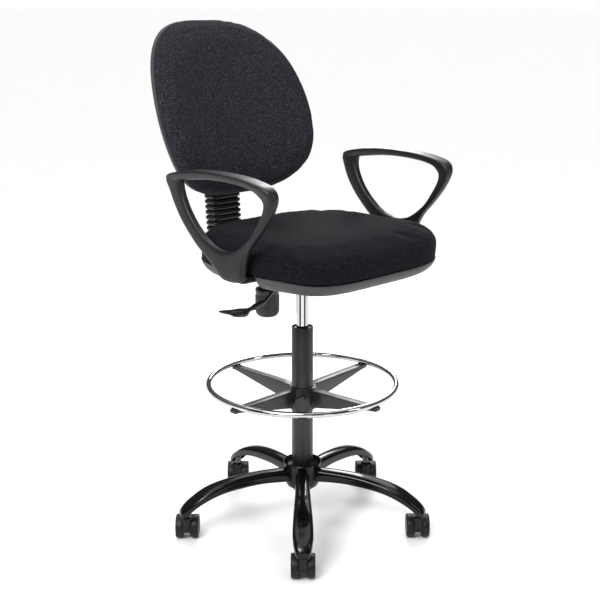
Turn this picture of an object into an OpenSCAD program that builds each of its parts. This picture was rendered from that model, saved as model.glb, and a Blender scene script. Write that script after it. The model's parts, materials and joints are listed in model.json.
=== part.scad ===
// Drafting chair: five-star pressed-steel base on twin-wheel casters, long gas lift,
// clamped foot ring, padded seat and back, loop arms. Millimetres, +Z up.
// Origin: on the floor on the column axis. The sitter faces -Y; +X is the sitter's left.

/* [Base] */
// Radius from the column axis to each caster stem
base_r = 285; // [270:1:310]
// Direction of the first leg, degrees from +X
leg_turn = -134.2; // [-180:0.1:180]
// Direction the caster wheels trail, degrees from +Y
caster_turn = -44.5; // [-180:0.5:180]
// Offset from caster stem to wheel axle
caster_trail = 18; // [16:0.5:22]

/* [Column] */
// Outer diameter of the column tube
column_d = 50; // [50:1:50]
// Height of the column tube's open top
column_top = 495; // [480:1:510]
// Diameter of the sliding gas cylinder
cylinder_d = 28; // [28:1:28]

/* [Foot ring] */
// Centreline radius of the foot ring
ring_r = 219.5; // [205:0.5:235]
// Diameter of the ring's tube
ring_tube_d = 14; // [12:1:18]
// Turn of the ring's four arms from the X and Y axes
arm_turn = 3; // [-10:0.1:10]
// Height of the ring's centreline
ring_z = 358; // [340:1:380]

/* [Seat] */
// Half width of the cushion at the front
seat_a = 254; // [240:1:256]
// Half width of the cushion at the back
seat_c = 244; // [225:1:254]
// Front edge of the cushion in Y
seat_front = -260; // [-275:1:-235]
// Rear edge of the cushion in Y
seat_rear = 186; // [175:1:200]
// Height of the line between cushion and shell
seat_line = 683; // [680:1:686]
// Drop of that line at the front edge
seat_drop = 17; // [5:1:25]
// Thickness of the cushion
seat_t = 54; // [45:1:65]

/* [Back] */
// Half width of the back at its widest
back_w = 228.7; // [210:0.1:235]
// Half height of the back
back_h = 204.3; // [190:0.1:210]
// Height of the back's middle
back_z = 980.6; // [975:0.1:990]
// Depth of the sideways hollow of the back
back_wrap = 50; // [30:1:55]
// Lean of the upright that carries the back
upright_lean = 4; // [4:1:4]

/* [Arms] */
// Distance from the middle to each arm's centre
arm_x = 276; // [274:1:290]
// Width of the arm's top
arm_pad_w = 42; // [34:1:46]

/* [Hidden] */

N = 36;                      // points round a seat or back outline
col_r = column_d / 2;
cyl_r = cylinder_d / 2;
mech_bottom = 586;
mech_top = 666;
pan_bottom = seat_line - 12.5;
pivot_y = 88;
pivot_z = 612;
bar_w = 56;
bar_t = 8;
bar_z = 600;                 // centreline of the bar's lower run
bend_y = 217;                // where the lower run ends
bend_r = 52;                 // centreline radius of the bend
up_y = bend_y + bend_r * cos(upright_lean);
up_z = bar_z + bend_r - bend_r * sin(upright_lean);
knob_y = 119;
function leg_dir(i) = leg_turn + 72 * (i - 1);

// ---------- shared shapes ----------
function sgn_pow(v, e) = sign(v) * pow(abs(v), e);
function clamp01(v) = min(1, max(0, v));
function smooth(v) = let(t = clamp01(v)) t * t * (3 - 2 * t);
function centre(r) = [for (k = [0:2]) let(s = [for (p = r) p[k]]) s * [for (p = r) 1] / len(r)];

// Closed solid through a list of rings with the same number of points
module loft(rings) {
  n = len(rings[0]); m = len(rings);
  pts = concat([for (r = rings) each r], [centre(rings[0]), centre(rings[m - 1])]);
  faces = concat(
    [for (k = [0:m - 2], i = [0:n - 1]) [k * n + i, (k + 1) * n + i, (k + 1) * n + (i + 1) % n]],
    [for (k = [0:m - 2], i = [0:n - 1]) [k * n + i, (k + 1) * n + (i + 1) % n, k * n + (i + 1) % n]],
    [for (i = [0:n - 1]) [n * m, i, (i + 1) % n]],
    [for (i = [0:n - 1]) [n * m + 1, (m - 1) * n + (i + 1) % n, (m - 1) * n + i]]);
  polyhedron(pts, faces, convexity = 6);
}

// ---------- base ----------
module base_hub() {
  color([0.05, 0.05, 0.05]) rotate_extrude($fn = 96)
    polygon([[col_r, 98], [31, 98], [38, 104], [41, 113], [41, 149], [45.5, 157], [45.5, 162], [43, 162],
             [38, 151], [27.5, 148], [col_r, 148]]);
}

leg_stations = [[38, 147, 118, 33], [100, 146, 121, 34], [150, 142, 118, 37], [190, 135, 113, 41],
                [220, 127, 105, 44], [245, 116, 95, 46], [265, 103, 84, 46], [280, 93, 72, 44],
                [292, 84, 62, 41], [300, 76, 60, 38]];
leg_shape = [[1, -0.7], [1, 0.5], [0.72, 1], [-0.72, 1], [-1, 0.5], [-1, -0.7], [-0.8, -1], [0.8, -1]];
module base_leg() {
  difference() {
    loft([for (s = leg_stations) [for (q = leg_shape)
      [s[0], q[0] * s[3] / 2, (s[1] + s[2]) / 2 + q[1] * (s[1] - s[2]) / 2]]]);
    loft([for (k = [3:8]) let(s = leg_stations[k]) [for (q = leg_shape)
      [s[0] - 3, q[0] * (s[3] / 2 - 2.5), q[1] > 0 ? (s[1] + s[2]) / 2 + q[1] * (s[1] - s[2]) / 2 - 3 : 40]]]);
    cylinder(h = 400, r = 41, center = true, $fn = 96);
    translate([base_r, 0, 50]) cylinder(h = 28, r = 9, $fn = 48);
  }
}
module base_legs() {
  color([0.03, 0.03, 0.03]) for (i = [1:5]) rotate([0, 0, leg_dir(i)]) base_leg();
}
module caster_sockets() {
  color([0.3, 0.3, 0.32]) for (i = [1:5]) rotate([0, 0, leg_dir(i)]) translate([base_r, 0, 60])
    difference() {
      cylinder(h = 18, r = 9, $fn = 48);
      translate([0, 0, -1]) cylinder(h = 17.5, r = 5.5, $fn = 48);
    }
}

// ---------- casters ----------
module at_caster(i) {
  rotate([0, 0, leg_dir(i)]) translate([base_r, 0, 0]) rotate([0, 0, caster_turn - leg_dir(i)]) children();
}
module caster_hood(i) {
  color([0.16, 0.16, 0.17]) at_caster(i) difference() {
    union() {
      translate([0, caster_trail, 25]) rotate([0, 90, 0]) cylinder(h = 54, r = 28, center = true, $fn = 72);
      translate([0, 0, 26]) cylinder(h = 31, r = 10, $fn = 48);
      translate([0, 4, 14]) cylinder(h = 30, r = 11, $fn = 48);
    }
    for (s = [-1, 1]) translate([s * 18, caster_trail, 25]) rotate([0, 90, 0])
      cylinder(h = 15.6, r = 25.7, center = true, $fn = 72);
    translate([-50, -50, -10]) cube([100, 130, 16]);
    translate([-10.2, -50, -10]) cube([20.4, 130, 28.5]);
    translate([0, caster_trail, 25]) rotate([0, 90, 0]) cylinder(h = 48.4, r = 4, center = true, $fn = 48);
    translate([0, 0, 32]) cylinder(h = 40, r = 5.42, $fn = 48);
  }
}
module caster_steel(i) {
  color([0.75, 0.75, 0.77]) at_caster(i) {
    translate([0, caster_trail, 25]) rotate([0, 90, 0]) cylinder(h = 48, r = 4, center = true, $fn = 48);
    translate([0, 0, 32]) cylinder(h = 43, r = 5.42, $fn = 48);
  }
}
module wheel(i, s) {
  color([0.12, 0.12, 0.13]) at_caster(i) translate([s * 18, caster_trail, 25]) rotate([0, 90, 0])
    rotate_extrude($fn = 72)
      polygon([[4.06, -7.2], [9, -7.2], [9, -4.5], [20, -4.5], [20, -7.2], [23.5, -7.2], [25, -5.7], [25, 5.7],
               [23.5, 7.2], [20, 7.2], [20, 4.5], [9, 4.5], [9, 7.2], [4.06, 7.2]]);
}

// ---------- column and gas lift ----------
module column_tube() {
  color([0.10, 0.10, 0.11]) difference() {
    translate([0, 0, 92]) cylinder(h = column_top - 92, r = col_r, $fn = 96);
    translate([0, 0, 96]) cylinder(h = column_top, r = 22.5, $fn = 96);
    translate([0, 0, 80]) cylinder(h = 40, r = 5.08, $fn = 48);
  }
}
module guide_sleeve() {
  color([0.04, 0.04, 0.04]) difference() {
    translate([0, 0, column_top - 70]) cylinder(h = 67, r = 22.5, $fn = 96);
    translate([0, 0, column_top - 80]) cylinder(h = 90, r = cyl_r + 0.08, $fn = 96);
  }
}
module thrust_bearing() {
  color("silver") difference() {
    translate([0, 0, 96]) cylinder(h = 5, r = 13, $fn = 64);
    translate([0, 0, 95]) cylinder(h = 8, r = 5.08, $fn = 48);
  }
}
module piston_rod() {
  color("gainsboro") union() {
    translate([0, 0, 84]) cylinder(h = 396, r = 5, $fn = 48);
    translate([0, 0, 101.3]) cylinder(h = 4, r = 10, $fn = 48);
    translate([0, 0, 470]) cylinder(h = 10, r = cyl_r - 2.05, $fn = 64);
  }
}
module retaining_clip() {
  color("dimgray") difference() {
    translate([0, 0, 88]) cylinder(h = 2.5, r = 10, $fn = 48);
    translate([0, 0, 87]) cylinder(h = 5, r = 5, $fn = 48);
  }
}
module gas_cylinder() {
  color("whitesmoke") difference() {
    translate([0, 0, 262]) cylinder(h = 352, r = cyl_r, $fn = 96);
    translate([0, 0, 266]) cylinder(h = 340, r = cyl_r - 2, $fn = 64);
    translate([0, 0, 255]) cylinder(h = 20, r = 5.08, $fn = 48);
    translate([0, 0, 600]) cylinder(h = 20, r = 3.08, $fn = 48);
  }
}
module release_button() {
  color("silver") translate([0, 0, 601]) cylinder(h = 18.5, r = 3, $fn = 48);
}

// ---------- mechanism under the seat ----------
module mechanism_housing() {
  color([0.10, 0.10, 0.11]) difference() {
    union() {
      translate([-80, -85, mech_top]) cube([160, 225, pan_bottom - mech_top - 0.1]);
      difference() {
        translate([-43, -70, mech_bottom]) cube([86, 170, mech_top - mech_bottom]);
        translate([-40, -67, mech_bottom + 3]) cube([80, 180, 100]);
      }
      translate([0, 0, mech_bottom]) cylinder(h = 26, r = 19, $fn = 64);
    }
    translate([0, 0, mech_bottom - 5]) cylinder(h = 45, r = cyl_r, $fn = 96);
    translate([-30, 0, 624]) rotate([0, -90, 0]) cylinder(h = 30, r = 8.5, $fn = 48);
    translate([0, pivot_y, pivot_z]) rotate([0, 90, 0]) cylinder(h = 120, r = 5, center = true, $fn = 48);
    translate([0, knob_y, mech_top - 5]) cylinder(h = 20, r = 5, $fn = 48);
    for (x = [-60, 60], y = [-60, 60]) translate([x, y, mech_top - 5]) cylinder(h = 20, r = 3, $fn = 24);
  }
}
module pivot_pin() {
  color("silver") translate([0, pivot_y, pivot_z]) rotate([0, 90, 0]) cylinder(h = 92, r = 5, center = true, $fn = 48);
}
module tension_bolt() {
  color("silver") translate([0, knob_y, 503]) cylinder(h = mech_top + 4 - 503, r = 5, $fn = 48);
}
module tension_knob() {
  color([0.12, 0.12, 0.13]) difference() {
    union() {
      translate([0, knob_y, 0]) rotate_extrude($fn = 96)
        polygon([[0, 496], [17, 496], [24, 499], [26.4, 505], [27.2, 515], [27.2, 555], [28.5, 557], [28.5, 563],
                 [27.5, 565], [0, 565]]);
      for (k = [0:23]) translate([0, knob_y, 0]) rotate([0, 0, 15 * k]) translate([26.9, 0, 511])
        cylinder(h = 45, r = 1.5, $fn = 16);
    }
    translate([0, knob_y, 500]) cylinder(h = 80, r = 5.08, $fn = 48);
  }
}
module tension_sleeve() {
  color([0.14, 0.14, 0.15]) difference() {
    translate([0, knob_y, 565]) cylinder(h = 18.6, r = 21, $fn = 72);
    translate([0, knob_y, 564]) cylinder(h = 30, r = 18, $fn = 72);
  }
}
// Compression spring between the knob and the underside of the bar
spring_turns = 3.5;
module tension_spring() {
  steps = 42; r0 = 13.5; w = 2; z0 = 567.3; z1 = 593.5;
  color("darkgray") loft([for (k = [0:steps]) let(a = 360 * spring_turns * k / steps)
    [for (j = [0:5]) let(b = 60 * j, rr = r0 + w * cos(b))
      [rr * sin(a), knob_y + rr * cos(a), z0 + (z1 - z0) * k / steps + w * sin(b)]]]);
}

// Height lever: a bent rod that tips on a pivot in the housing's side
lever_path = [[6, 624], [-52, 624], [-86, 599], [-122, 574], [-150, 568]];
module rod_to(a, b, r) {
  dx = b[0] - a[0]; dz = b[1] - a[1]; l = norm([dx, dz]);
  translate([a[0], 0, a[1]]) rotate([0, atan2(dx, dz), 0]) cylinder(h = l, r = r, $fn = 32);
}
function unit(v) = v / norm(v);
function path_dir(p, k) = let(m = len(p) - 1) k == 0 ? unit(p[1] - p[0]) : k == m ? unit(p[m] - p[m - 1])
  : unit(unit(p[k] - p[k - 1]) + unit(p[k + 1] - p[k]));
module height_lever() {
  p = lever_path; m = len(p) - 1;
  color([0.06, 0.06, 0.06]) union() { loft([for (k = [0:m]) let(d = path_dir(p, k),
    e = unit(p[min(m, k + 1)] - p[max(0, min(m - 1, k))]), w = 3.95 / max(0.7, d * e))
    [for (j = [0:15]) let(b = 22.5 * j) [p[k][0] + w * cos(b) * d[1], 3.95 * sin(b), p[k][1] - w * cos(b) * d[0]]]]);
    translate([-41.5, 0, 624]) rotate([90, 0, 0]) cylinder(h = 14.6, r = 2.6, center = true, $fn = 32);
  }
}
module lever_grip() {
  a = lever_path[3]; b = lever_path[4];
  color([0.05, 0.05, 0.05]) union() {
    difference() {
      rod_to(a, [b[0] + (b[0] - a[0]) * 0.25, b[1] + (b[1] - a[1]) * 0.25], 6.5);
      rod_to([a[0] + 7, a[1] + 1.5], b, 4);
    }
    loft([for (s = [[-153, 567.3, 8, 7], [-162, 565.6, 6, 5], [-176, 563.6, 14, 6.8], [-190, 563.4, 21, 8.2],
                    [-206, 565, 23, 7.3], [-224, 568.4, 25, 5.8], [-231, 570, 21, 2.5]])
      [for (j = [0:11]) let(b = -30 * j) [s[0], s[2] * cos(b), s[1] + s[3] * sin(b)]]]);
  }
}

// ---------- seat ----------
function seat_zs(y) = seat_line - seat_drop * smooth((-y - 164) / 130);
seat_mid = -30;
function seat_pt(s, dz, t) = let(n = sin(t) < 0 ? 4.2 : 2.76, vx = sgn_pow(cos(t), 2 / n), vy = sgn_pow(sin(t), 2 / n),
  y = seat_mid + s * vy * (vy < 0 ? seat_mid - seat_front : seat_rear - seat_mid),
  x = s * vx * ((seat_a + seat_c) / 2 - vy * (seat_a - seat_c) / 2)) [x, y, seat_zs(y) + dz];
function seat_ring(s, dz, n = N) = [for (i = [0:n - 1]) seat_pt(s, dz, 360 * (i + 0.5) / n)];
module seat_cushion() {
  k = seat_t / 55;
  color([0.09, 0.09, 0.10]) loft([seat_ring(0.3, 0), seat_ring(0.7, 0), seat_ring(0.82, 0), seat_ring(0.915, 0), seat_ring(0.925, 0), seat_ring(0.935, -12),
    seat_ring(0.965, -12), seat_ring(0.985, -5), seat_ring(1, 16 * k), seat_ring(0.985, 36 * k), seat_ring(0.93, 47 * k), seat_ring(0.8, 52 * k),
    seat_ring(0.5, 53 * k), seat_ring(0.2, 53 * k)]);
}
module seat_pan() {
  color([0.72, 0.55, 0.36]) difference() {
    loft([seat_ring(0.3, -12.5), seat_ring(0.7, -12.5), seat_ring(0.915, -12.5), seat_ring(0.915, -1.2), seat_ring(0.82, -1.2), seat_ring(0.7, -1.2), seat_ring(0.3, -1.2)]);
    for (x = [-60, 60], y = [-60, 60]) translate([x, y, pan_bottom - 2]) cylinder(h = 10, r = 3, $fn = 24);
    for (s = [-1, 1], y = [-88, -56]) translate([s * 195, y, pan_bottom - 2]) cylinder(h = 10, r = 3, $fn = 24);
  }
}
// Rim of the opening in the shell's floor, round the mechanism
function hole_ring(dz) = [for (i = [0:N - 1]) let(t = 360 * (i + 0.5) / N)
  [100 * sgn_pow(cos(t), 0.4), 27 + 130 * sgn_pow(sin(t), 0.4), seat_line + dz]];
module shell_ring_solid(rings) {
  n = N; m = len(rings);
  polyhedron([for (r = rings) each r], concat(
    [for (k = [0:m - 1], i = [0:n - 1]) [k * n + i, ((k + 1) % m) * n + i, ((k + 1) % m) * n + (i + 1) % n]],
    [for (k = [0:m - 1], i = [0:n - 1]) [k * n + i, ((k + 1) % m) * n + (i + 1) % n, k * n + (i + 1) % n]]), convexity = 8);
}
module seat_shell() {
  color([0.30, 0.30, 0.32]) difference() {
    shell_ring_solid([hole_ring(-43), seat_ring(0.7, -43), seat_ring(0.845, -43), seat_ring(0.90, -38), seat_ring(0.95, -26),
      seat_ring(0.97, -12.6), seat_ring(0.96, -12.6), seat_ring(0.938, -26), seat_ring(0.888, -35.5), seat_ring(0.84, -40),
      seat_ring(0.7, -40), hole_ring(-40)]);
    for (s = [-1, 1]) translate([s * 230 - 70, -108, 600]) cube([140, 71, 72]);
  }
}
module seat_bolt(z0) {
  translate([0, 0, z0 - 4]) cylinder(h = 4, r = 6.5, $fn = 6);
  translate([0, 0, z0 - 1]) cylinder(h = pan_bottom + 7.5 - z0, r = 3, $fn = 24);
}
module seat_bolts() {
  color("silver") {
    for (x = [-60, 60], y = [-60, 60]) translate([x, y, 0]) seat_bolt(mech_top);
    for (s = [-1, 1], y = [-88, -56]) translate([s * 195, y, 0]) seat_bolt(657);
  }
}

// ---------- arms ----------
arm_outer = [[130, 852], [118, 867], [58, 879], [0, 884], [-60, 885], [-120, 882], [-172, 873], [-195, 864], [-204, 850],
             [-201, 832], [-184, 802], [-155, 767], [-128, 738], [-112, 710], [-108, 684], [-106, 668], [-98, 659],
             [-46, 658], [-34, 664], [-2, 692], [45, 726], [84, 764], [110, 800], [124, 836]];
arm_inner = [[84, 852], [40, 862], [-20, 867], [-80, 867], [-130, 862], [-160, 852], [-172, 838], [-170, 820], [-147, 779],
             [-108, 741], [-78, 726], [-48, 721], [-16, 727], [12, 741], [40, 764], [64, 792], [82, 828]];
pad_long = [[122, 856], [112, 867], [58, 879], [0, 884], [-60, 885], [-120, 882], [-172, 873], [-195, 864], [-204, 850],
            [-200, 843], [-186, 851], [-120, 869], [-60, 873], [0, 872], [60, 866], [108, 853], [118, 846]];
pad_wide = [[108, 866], [58, 878], [0, 883], [-60, 884], [-120, 881], [-172, 872], [-190, 865],
            [-184, 854], [-120, 870], [-60, 874], [0, 873], [60, 867], [104, 856]];
module arm(s) {
  color([0.20, 0.20, 0.21]) union() {
    translate([s * 271 - 12, 0, 0]) rotate([90, 0, 90]) linear_extrude(height = 24) difference() {
      polygon(arm_outer);
      polygon(arm_inner);
    }
    translate([s * arm_x - 15, 0, 0]) rotate([90, 0, 90]) linear_extrude(height = 30) polygon(pad_long);
    translate([s * arm_x - arm_pad_w / 2, 0, 0]) rotate([90, 0, 90]) linear_extrude(height = arm_pad_w) polygon(pad_wide);
    difference() {
      translate([s > 0 ? 172 : -278, -102, 657]) cube([106, 60, pan_bottom - 657.1]);
      for (y = [-88, -56]) translate([s * 195, y, 640]) cylinder(h = 60, r = 3, $fn = 24);
    }
  }
}

// ---------- back ----------
function bend_pt(r, b) = [bend_y + r * sin(b), bar_z + bend_r - r * cos(b)];
module back_bar() {
  a = upright_lean; h = bar_t / 2; l = 236; e = 90 - a;
  top_in = bend_pt(bend_r - h, e) + l * [sin(a), cos(a)];
  top_out = bend_pt(bend_r + h, e) + l * [sin(a), cos(a)];
  color([0.08, 0.08, 0.09]) difference() {
    union() {
      translate([-bar_w / 2, 0, 0]) rotate([90, 0, 90]) linear_extrude(height = bar_w) polygon(concat(
        [[pivot_y - 9, bar_z + h], [pivot_y - 9, bar_z - h]],
        [for (k = [0:14]) bend_pt(bend_r + h, e * k / 14)], [top_out, top_in],
        [for (k = [0:14]) bend_pt(bend_r - h, e * (14 - k) / 14)]));
      translate([0, pivot_y, pivot_z]) rotate([0, 90, 0]) cylinder(h = 72, r = 9, center = true, $fn = 64);
    }
    translate([0, pivot_y, pivot_z]) rotate([0, 90, 0]) cylinder(h = 100, r = 5.08, center = true, $fn = 48);
    translate([0, knob_y, bar_z - 20]) cylinder(h = 40, r = 11, $fn = 48);
  }
}
function up_c(z) = up_y + (z - up_z) * tan(upright_lean);
function box_ring(z, hx, hy, y0) = [for (p = [[1, -0.7], [1, 0.7], [0.88, 1], [-0.88, 1], [-1, 0.7], [-1, -0.7], [-0.88, -1], [0.88, -1]])
  [hx * p[0], y0 + hy * p[1], z]];
module bellows() {
  color([0.07, 0.07, 0.07]) difference() {
    loft([for (k = [0:12]) let(z = 672 + 8.6 * k) box_ring(z, k % 2 == 0 ? 38 : 43, k % 2 == 0 ? 15 : 19, up_c(z))]);
    loft([for (k = [0:1]) let(z = 660 + 130 * k) box_ring(z, 32, 7.5, up_c(z))]);
  }
}
// Front face of the cushion on the middle line: upright below, leaning back above
function back_yc(z) = let(q = z - 761.5) 181.3 + (q < 0 ? 0 : q < 150 ? 0.0012 * q * q : 27 + 0.36 * (q - 150));
function back_pt(s, off, t) = let(n = cos(t) > 0 ? 2.89 : 2.83, v = sgn_pow(cos(t), 2 / n), u = sgn_pow(sin(t), 2 / n),
  z = back_z + s * back_h * v, x = s * back_w * u * (1 - (v > 0 ? 0.11 : -0.017) * v))
  [x, back_yc(z) - back_wrap * pow(x / 220, 2) + off, z];
function back_ring(s, off, n = N) = [for (i = [0:n - 1]) back_pt(s, off, 360 * (i + 0.5) / n)];
// Rearward swell of the rear cover over the bracket
function hump(p) = 52 * smooth((1 - abs(p[0]) / 105) * 1.6) * smooth((985 - p[2]) / 100);
function shell_ring(s, off, f) = [for (i = [0:N - 1]) let(p = back_pt(s, off, 360 * (i + 0.5) / N)) [p[0], p[1] + f * hump(p), p[2]]];
module back_cushion() {
  color([0.09, 0.09, 0.10]) loft([back_ring(0.15, -3), back_ring(0.5, -2), back_ring(0.82, 0), back_ring(0.93, 4), back_ring(0.985, 14),
    back_ring(1, 26), back_ring(0.99, 38), back_ring(0.965, 43.2), back_ring(0.93, 42.8),
    back_ring(0.84, 42.8), back_ring(0.73, 42.8), back_ring(0.6, 42.8), back_ring(0.4, 42.8), back_ring(0.2, 42.8)]);
}
module back_panel() {
  color([0.72, 0.55, 0.36]) loft([back_ring(0.2, 44), back_ring(0.4, 44), back_ring(0.6, 44), back_ring(0.73, 44), back_ring(0.84, 44),
    back_ring(0.93, 44), back_ring(0.93, 52),
    back_ring(0.6, 52), back_ring(0.2, 52)]);
}
module back_shell() {
  color([0.22, 0.22, 0.23]) difference() {
    loft([shell_ring(0.15, 44.3, 0), shell_ring(0.6, 44.3, 0), shell_ring(0.975, 44.3, 0), shell_ring(0.985, 50, 0), shell_ring(0.965, 58, 0),
          shell_ring(0.9, 62, 1), shell_ring(0.8, 63.5, 1), shell_ring(0.68, 64, 1), shell_ring(0.55, 64, 1), shell_ring(0.42, 64, 1),
          shell_ring(0.3, 64, 1), shell_ring(0.15, 64, 1)]);
    loft([shell_ring(0.15, 40, 0), shell_ring(0.6, 40, 0), shell_ring(0.945, 40, 0), shell_ring(0.955, 50, 0), shell_ring(0.94, 55, 0),
          shell_ring(0.89, 59, 1), shell_ring(0.8, 60.5, 1), shell_ring(0.68, 61, 1), shell_ring(0.55, 61, 1), shell_ring(0.42, 61, 1),
          shell_ring(0.3, 61, 1), shell_ring(0.15, 61, 1)]);
    translate([-46, 246, 700]) cube([92, 90, 100]);
  }
}
module back_bracket() {
  color([0.10, 0.10, 0.11]) difference() {
    union() {
      translate([0, back_yc(842) + 53.3, 842]) rotate([-11, 0, 0]) {
        translate([-70, 0, -20]) cube([140, 2.4, 40]);
        translate([-30, 1, -20]) cube([60, 30, 40]);
      }
      translate([0, up_c(843), 843]) rotate([-upright_lean, 0, 0]) translate([-34, -12, -30]) cube([68, 20, 60]);
    }
    translate([0, up_c(843), 843]) rotate([-upright_lean, 0, 0])
      translate([-bar_w / 2 - 0.3, -bar_t / 2 - 0.3, -100]) cube([bar_w + 0.6, bar_t + 0.6, 200]);
    for (x = [-60, 60]) translate([x, back_yc(842) + 53.3, 842]) rotate([-101, 0, 0])
      cylinder(h = 40, r = 3, center = true, $fn = 24);
  }
}
module back_screws() {
  color("silver") for (x = [-60, 60]) translate([x, back_yc(842) + 53.3, 842]) rotate([-101, 0, 0]) {
    translate([0, 0, 2.4]) cylinder(h = 3.5, r = 6, $fn = 24);
    cylinder(h = 2.5, r = 3, $fn = 24);
  }
}

// ---------- foot ring ----------
knob_dir = caster_turn - 90;
module ring_bush() {
  color([0.06, 0.06, 0.06]) difference() {
    union() {
      translate([0, 0, ring_z - 60]) cylinder(h = 50, r = 28.5, $fn = 96);
      translate([0, 0, ring_z - 12]) cylinder(h = 3.5, r = 31.5, $fn = 96);
    }
    translate([0, 0, ring_z - 70]) cylinder(h = 80, r = col_r + 0.08, $fn = 96);
  }
}
module spider_arm() {
  top = ring_z - ring_tube_d / 2 - 0.02;
  difference() {
    rotate([90, 0, 0]) linear_extrude(height = 19, center = true)
      polygon([[30, top - 47], [30, top - 4], [60, top - 2], [ring_r - 12, top], [ring_r + 3.5, top], [ring_r + 3.5, top - 8],
               [ring_r - 12, top - 10]]);
    rotate([90, 0, 0]) linear_extrude(height = 15, center = true)
      polygon([[25, top - 60], [25, top - 6.5], [60, top - 4.5], [ring_r - 12, top - 2.5], [ring_r + 20, top - 2.5],
               [ring_r + 20, top - 60]]);
    translate([ring_r - 2, 0, top - 20]) cylinder(h = 40, r = 3, $fn = 24);
    cylinder(h = 1000, r = 32.5, $fn = 96);
  }
}
module ring_spider() {
  color([0.09, 0.09, 0.10]) difference() {
    union() {
      translate([0, 0, ring_z - 60]) cylinder(h = 47.7, r = 33, $fn = 96);
      for (a = [0:90:270]) rotate([0, 0, a + arm_turn]) spider_arm();
      rotate([0, 0, knob_dir]) translate([29, 0, ring_z - 38]) rotate([0, 90, 0]) cylinder(h = 15, r = 9, $fn = 48);
    }
    translate([0, 0, ring_z - 70]) cylinder(h = 80, r = 28.58, $fn = 96);
    rotate([0, 0, knob_dir]) translate([20, 0, ring_z - 38]) rotate([0, 90, 0]) cylinder(h = 30, r = 4.08, $fn = 48);
  }
}
module ring_tube() {
  color("whitesmoke") difference() {
    translate([0, 0, ring_z]) rotate_extrude($fn = 180) translate([ring_r, 0]) circle(d = ring_tube_d, $fn = 48);
    for (a = [0:90:270]) rotate([0, 0, a + arm_turn]) translate([ring_r - 2, 0, ring_z - 12]) cylinder(h = 10.6, r = 3, $fn = 24);
  }
}
module ring_caps() {
  top = ring_z - ring_tube_d / 2;
  color([0.03, 0.03, 0.03]) for (a = [0:90:270]) rotate([0, 0, a + arm_turn]) translate([ring_r + 3.5, -9.5, top - 9])
    cube([4, 19, 9]);
}
module ring_screws() {
  top = ring_z - ring_tube_d / 2 - 0.02;
  color("silver") for (a = [0:90:270]) rotate([0, 0, a + arm_turn]) translate([ring_r - 2, 0, top - 2.5]) {
    translate([0, 0, -4]) cylinder(h = 4, r = 5, $fn = 6);
    cylinder(h = 8, r = 3, $fn = 24);
  }
}
module ring_knob() {
  color([0.05, 0.05, 0.05]) rotate([0, 0, knob_dir]) translate([0, 0, ring_z - 38]) rotate([0, 90, 0]) {
    translate([0, 0, 46]) linear_extrude(height = 16)
      polygon([for (k = [0:95]) let(a = 3.75 * k, r = 21.3 + 1.5 * cos(8 * a)) [r * cos(a), r * sin(a)]]);
    translate([0, 0, 44.3]) cylinder(h = 3, r = 10, $fn = 48);
    translate([0, 0, 28.8]) cylinder(h = 20, r = 4, $fn = 48);
  }
}

base_hub();
base_legs();
caster_sockets();
column_tube();
guide_sleeve();
thrust_bearing();
caster_hood(1);  // caster_hood_1
caster_steel(1);  // caster_steel_1
wheel(1, -1);  // wheel_left_1
wheel(1, 1);  // wheel_right_1
caster_hood(2);  // caster_hood_2
caster_steel(2);  // caster_steel_2
wheel(2, -1);  // wheel_left_2
wheel(2, 1);  // wheel_right_2
caster_hood(3);  // caster_hood_3
caster_steel(3);  // caster_steel_3
wheel(3, -1);  // wheel_left_3
wheel(3, 1);  // wheel_right_3
caster_hood(4);  // caster_hood_4
caster_steel(4);  // caster_steel_4
wheel(4, -1);  // wheel_left_4
wheel(4, 1);  // wheel_right_4
caster_hood(5);  // caster_hood_5
caster_steel(5);  // caster_steel_5
wheel(5, -1);  // wheel_left_5
wheel(5, 1);  // wheel_right_5
piston_rod();
retaining_clip();
gas_cylinder();
release_button();
mechanism_housing();
pivot_pin();
tension_bolt();
tension_knob();
tension_sleeve();
tension_spring();
height_lever();
lever_grip();
seat_pan();
seat_cushion();
seat_shell();
seat_bolts();
arm(1);  // arm_left
arm(-1);  // arm_right
back_bar();
bellows();
back_bracket();
back_panel();
back_cushion();
back_shell();
back_screws();
ring_bush();
ring_spider();
ring_tube();
ring_caps();
ring_screws();
ring_knob();
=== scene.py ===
import json
import math
import bmesh
import bpy
import numpy as np
from mathutils import Matrix, Vector, kdtree


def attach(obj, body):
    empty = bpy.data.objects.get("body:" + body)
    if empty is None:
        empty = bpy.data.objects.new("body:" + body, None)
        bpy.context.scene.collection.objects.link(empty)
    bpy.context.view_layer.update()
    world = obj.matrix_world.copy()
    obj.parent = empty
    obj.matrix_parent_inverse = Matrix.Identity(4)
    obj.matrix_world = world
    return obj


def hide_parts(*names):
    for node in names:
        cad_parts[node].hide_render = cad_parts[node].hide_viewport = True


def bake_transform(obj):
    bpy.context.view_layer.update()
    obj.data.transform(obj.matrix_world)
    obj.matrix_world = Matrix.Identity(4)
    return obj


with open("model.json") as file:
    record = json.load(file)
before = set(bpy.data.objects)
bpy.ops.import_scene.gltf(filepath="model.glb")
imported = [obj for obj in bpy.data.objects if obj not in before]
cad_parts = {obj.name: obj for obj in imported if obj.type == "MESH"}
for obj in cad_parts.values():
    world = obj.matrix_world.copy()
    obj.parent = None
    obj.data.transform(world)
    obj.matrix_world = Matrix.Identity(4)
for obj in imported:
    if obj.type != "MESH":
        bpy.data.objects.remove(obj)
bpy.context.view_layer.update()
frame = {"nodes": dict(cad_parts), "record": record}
nodes = frame["nodes"]
node_body = {n: b for b, ns in frame["record"]["behaviour"]["bodies"].items() for n in ns}
slot_of = {s["node"]: s["material_slot"] for s in frame["record"]["subparts"]}
scene = bpy.context.scene
MM = 0.001


# ------------------------------------------------------------------ helpers
def clamp01(v):
    return np.clip(v, 0.0, 1.0)


def smooth(v):
    t = clamp01(v)
    return t * t * (3 - 2 * t)


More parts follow.
